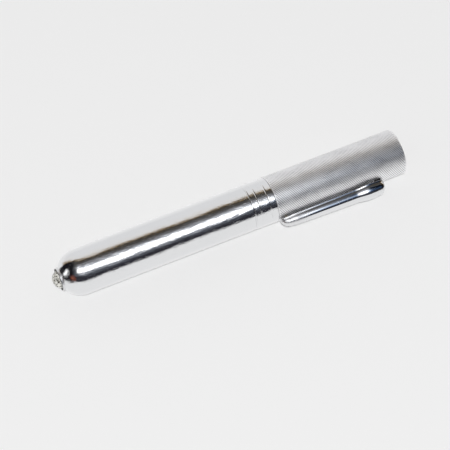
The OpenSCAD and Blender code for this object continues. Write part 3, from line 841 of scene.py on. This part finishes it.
def give_glow(name, middle, wide, high, level):
    """Glowing sheet for polished surfaces alone, with tones along its two directions from a middle.

    What it would throw on the paper by way of the metal is left out.
    """
    lows, highs = [(wide[1][i][0], high[1][i][0]) for i in (0, -1)]
    sheet = stage_sheet(name, *oblong(middle, wide[0], high[0], lows, highs))
    only_mirrored(sheet)
    glow = bpy.data.materials.new(name)
    glow.use_nodes = True
    tree = glow.node_tree
    tree.nodes.clear()
    out = node(tree, "ShaderNodeOutputMaterial")
    emission = node(tree, "ShaderNodeEmission")
    thrown = node(tree, "ShaderNodeLightPath").outputs["Diffuse Depth"]
    tree.links.new(ranged(tree, thrown, 0, 1, level, 0), emission.inputs["Strength"])
    tree.links.new(emission.outputs["Emission"], out.inputs["Surface"])
    place = node(tree, "ShaderNodeTexCoord").outputs["Object"]
    product = node(tree, "ShaderNodeVectorMath", operation="MULTIPLY")
    for i, (direction, tones) in enumerate((wide, high)):
        base = middle.dot(direction)
        placed = [(base + at, color) for at, color in tones]
        tone = tones_along(tree, along_direction(tree, place, direction), placed)
        tree.links.new(tone, product.inputs[i])
    tree.links.new(product.outputs["Vector"], emission.inputs["Color"])
    put_finish(sheet, glow)


# Floor: pale paper
FLOOR_SIDE = 4.0
FLOOR_TONE = 0.90
PAPER_ROUGHNESS = 0.9
PAPER_SHINE = 0.1
MIRRORED_FLOOR = 0.98
THROWN_BACK = 0.7


def make_floor():
    """Paper that takes shadows, is as white as the room in polished metal and gets less of that back."""
    half = FLOOR_SIDE / 2
    corners = oblong(Vector(), ALONG, UP.cross(ALONG), (-half, -half), (half, half))
    floor = stage_sheet("floor", *corners)
    paper = material("paper", grey(FLOOR_TONE), 0, PAPER_ROUGHNESS)
    tree = paper.node_tree
    shader = tree.nodes["Principled BSDF"]
    shader.inputs["Specular IOR Level"].default_value = PAPER_SHINE
    mirrored = node(tree, "ShaderNodeEmission", Color=(*grey(MIRRORED_FLOOR), 1))
    path = node(tree, "ShaderNodeLightPath")
    thrown = ranged(tree, path.outputs["Diffuse Depth"], 0, 1, 1, THROWN_BACK)
    tree.links.new(thrown, mirrored.inputs["Strength"])
    shown = mixed_shader(tree, path.outputs["Is Glossy Ray"], shader, mirrored)
    tree.links.new(shown.outputs["Shader"], tree.nodes["Material Output"].inputs["Surface"])
    put_finish(floor, paper)


# Dark sides: in polished metal the paper has a corner past the nose and ends past the tail.
# Places on the paper are given to the camera's right and ahead of it.
DARK_SIDE = (0.012, 0.012, 0.014)
DARK_LIFT = Vector((0, 0, 0.2 * MM))
PAPER_CORNER = (-0.084, -0.014)
CORNER_WAYS = ((-0.93, 0.365), (-1.3, -0.55), (-0.34, -0.94))
CORNER_REACH = 2.5
TAIL_MARGIN = 36 * MM
TAIL_SIDE_LOWS = (0, -0.05)
TAIL_SIDE_HIGHS = (0.5, 0.06)


def make_dark_sides():
    right, ahead = view_right(), -view_back(0)
    corner = right * PAPER_CORNER[0] + ahead * PAPER_CORNER[1] + DARK_LIFT
    corners = [corner] + [corner + (right * x + ahead * y) * CORNER_REACH for x, y in CORNER_WAYS]
    past_tail = Vector((cap_high.x, AXIS.y, 0)) + right * TAIL_MARGIN + DARK_LIFT
    tail_corners = oblong(past_tail, right, ahead, TAIL_SIDE_LOWS, TAIL_SIDE_HIGHS)
    black = material("dark_side", DARK_SIDE, 0, 1)
    for sheet in (stage_sheet("dark_left", *corners), stage_sheet("dark_right", *tail_corners)):
        only_mirrored(sheet)
        put_finish(sheet, black)


# Room: its tones in polished metal, by the angle from the camera's side over the top
NEAR_TONES = (
    (0, (1.0, 1.0, 1.0)),
    (5.0, (0.99, 0.99, 1.0)),
    (6, (0.024, 0.024, 0.032)),
    (24, (0.030, 0.030, 0.039)),
    (30, (0.055, 0.055, 0.065)),
    (37, (0.13, 0.14, 0.165)),
    (88, (0.14, 0.14, 0.145)),
    (96, (0.085, 0.083, 0.08)),
    (108, (0.065, 0.054, 0.042)),
    (113, (0.055, 0.042, 0.028)),
)

# The pale far side has its tones by how far a direction points ahead, and takes over between limits
FAR_TONES = (
    (0.36, (0.055, 0.042, 0.028)),
    (0.43, (0.40, 0.26, 0.10)),
    (0.50, (0.91, 0.89, 0.87)),
    (0.80, (0.91, 0.91, 0.92)),
)
FAR_BLEND = (0.33, 0.39)

# The near side is dark past limits to the left and to the right
NEAR_LEFT = (-0.55, -0.35)
NEAR_RIGHT = (0.72, 0.85)
ROOM_DARK = (0.012, 0.012, 0.015)

# To the eye and through glass the room is pale, and its light on everything is even
PALE = 0.855
LIGHT_LEVEL = 0.30


def room_color(tree):
    """Colour of the room in a direction."""
    direction = node(tree, "ShaderNodeTexCoord").outputs["Generated"]
    ways = (UP, view_back(0), view_right(), -view_back(0))
    height, back, right, ahead = [along_direction(tree, direction, way) for way in ways]
    turn = math_node(tree, "DEGREES", math_node(tree, "ARCTAN2", height, back))
    near = tones_along(tree, turn, NEAR_TONES)
    from_left = ranged(tree, right, *NEAR_LEFT, 0, 1)
    from_right = ranged(tree, right, *NEAR_RIGHT, 1, 0)
    near = tint(tree, math_node(tree, "MULTIPLY", from_left, from_right), ROOM_DARK, near)
    far = tones_along(tree, ahead, FAR_TONES)
    return tint(tree, ranged(tree, ahead, *FAR_BLEND, 0, 1), near, far)


def make_world():
    world = bpy.data.worlds.new("studio")
    scene.world = world
    world.use_nodes = True
    world.cycles.sampling_method = "NONE"
    tree = world.node_tree
    tree.nodes.clear()
    out = node(tree, "ShaderNodeOutputWorld")
    light = node(tree, "ShaderNodeBackground", Color=(*grey(LIGHT_LEVEL), 1))
    pale = node(tree, "ShaderNodeBackground", Color=(*grey(PALE), 1))
    room = node(tree, "ShaderNodeBackground")
    tree.links.new(room_color(tree), room.inputs["Color"])
    path = node(tree, "ShaderNodeLightPath")
    seen = math_node(tree, "MAXIMUM", path.outputs["Is Camera Ray"], path.outputs["Is Transmission Ray"])
    mirrored = mixed_shader(tree, path.outputs["Is Glossy Ray"], light, room)
    shown = mixed_shader(tree, seen, mirrored, pale)
    tree.links.new(shown.outputs["Shader"], out.inputs["Surface"])


# Soft box over the torch: it faces the torch's middle at an angle over the camera's side
SOFTBOX_DISTANCE = 0.18
SOFTBOX_FACING = 69.0
SOFTBOX_TURN = 9.0
SOFTBOX_LEVEL = 4.3

# Its tones up the box and along it, which multiply
SOFTBOX_RISE = (
    (-0.124, (0.034, 0.037, 0.043)),
    (-0.096, (0.087, 0.093, 0.105)),
    (-0.074, (0.18, 0.185, 0.195)),
    (-0.064, (0.32, 0.32, 0.33)),
    (-0.054, grey(1.0)),
    (-0.022, grey(1.0)),
    (-0.010, (0.38, 0.39, 0.40)),
    (0.008, (0.17, 0.175, 0.19)),
    (0.030, (0.08, 0.08, 0.085)),
    (0.058, (0.043, 0.043, 0.045)),
)
SOFTBOX_REACH = (
    (-0.100, grey(0.0)),
    (-0.065, grey(0.88)),
    (0.045, grey(0.88)),
    (0.070, grey(1.0)),
    (0.092, grey(1.0)),
    (0.122, (0.17, 0.20, 0.25)),
    (0.150, (0.03, 0.045, 0.075)),
    (0.195, (0.010, 0.017, 0.032)),
    (0.420, (0.006, 0.009, 0.016)),
)


def make_softbox():
    above, right = view_back(SOFTBOX_FACING), view_right()
    turn = math.radians(SOFTBOX_TURN)
    side = right * math.cos(turn) + above.cross(right) * math.sin(turn)
    middle = Vector((0, AXIS.y, AXIS.z)) + above * SOFTBOX_DISTANCE
    give_glow("softbox", middle, (side, SOFTBOX_REACH), (above.cross(side), SOFTBOX_RISE), SOFTBOX_LEVEL)


# Square light past the nose
SQUARE_AIM = Vector((-0.958, 0.13, 0.254))
SQUARE_DISTANCE = 0.4
SQUARE_LEVEL = 1.8
SQUARE_WIDE = ((-0.06, grey(0.02)), (-0.045, grey(1.0)), (0.045, grey(1.0)), (0.06, grey(0.02)))
SQUARE_HIGH = ((-0.11, grey(0.02)), (-0.09, grey(1.0)), (0.09, grey(1.0)), (0.11, grey(0.02)))

# Warm thing before the nose, which shows low on its dome
WARM_AIM = Vector((-0.755, -0.53, 0.38))
WARM_DISTANCE = 0.12
WARM_LEVEL = 0.42
WARM_TONE = (1.0, 0.33, 0.22)
WARM_WIDE = ((-0.032, grey(0.04)), (-0.006, grey(1.0)), (0.006, grey(1.0)), (0.032, grey(0.04)))
WARM_HIGH = ((-0.03, grey(0.04)), (-0.009, WARM_TONE), (0.0, WARM_TONE), (0.024, grey(0.04)))


def make_side_light(name, aim, distance, wide, high, level):
    """Glowing sheet that faces the nose."""
    aim = aim.normalized()
    side = Vector((-aim.y, aim.x, 0)).normalized()
    middle = Vector((LIP_X, AXIS.y, AXIS.z)) + aim * distance
    give_glow(name, middle, (side, wide), (aim.cross(side), high), level)


# Lamp: a plain soft light that lights the paper and the dull pieces
LAMP_POWER = 188.0
LAMP_SIZE = 0.7
LAMP_DISTANCE = 5.0
LAMP_ELEVATION = 58.5


def make_lamp():
    data = bpy.data.lights.new("soft_light", "AREA")
    data.shape = "DISK"
    data.size = LAMP_SIZE
    data.energy = LAMP_POWER
    lamp = bpy.data.objects.new("soft_light", data)
    lamp.location = view_back(LAMP_ELEVATION) * LAMP_DISTANCE
    lamp.rotation_mode = "QUATERNION"
    lamp.rotation_quaternion = lamp.location.to_track_quat("Z", "Y")
    lamp.visible_glossy = False
    lamp.visible_transmission = False
    scene.collection.objects.link(lamp)


scene.view_settings.view_transform = "Standard"
make_camera()
make_floor()
make_dark_sides()
make_world()
make_softbox()
make_side_light("square_light", SQUARE_AIM, SQUARE_DISTANCE, SQUARE_WIDE, SQUARE_HIGH, SQUARE_LEVEL)
make_side_light("warm_thing", WARM_AIM, WARM_DISTANCE, WARM_WIDE, WARM_HIGH, WARM_LEVEL)
make_lamp()
put_finish(make_barrel(), polished_chrome("barrel_chrome", BARREL_WAVE, DULL_LIP, DULL_LIP_ROUGHNESS))
put_finish(make_cap(), satin_chrome("cap_chrome"))
clip_finish = polished_chrome("clip_chrome", CLIP_WAVE, DULL_TIP, DULL_TIP_ROUGHNESS)
put_finish(make_clip(), clip_finish)
put_finish(make_eye(), clip_finish)
dress_nodes()
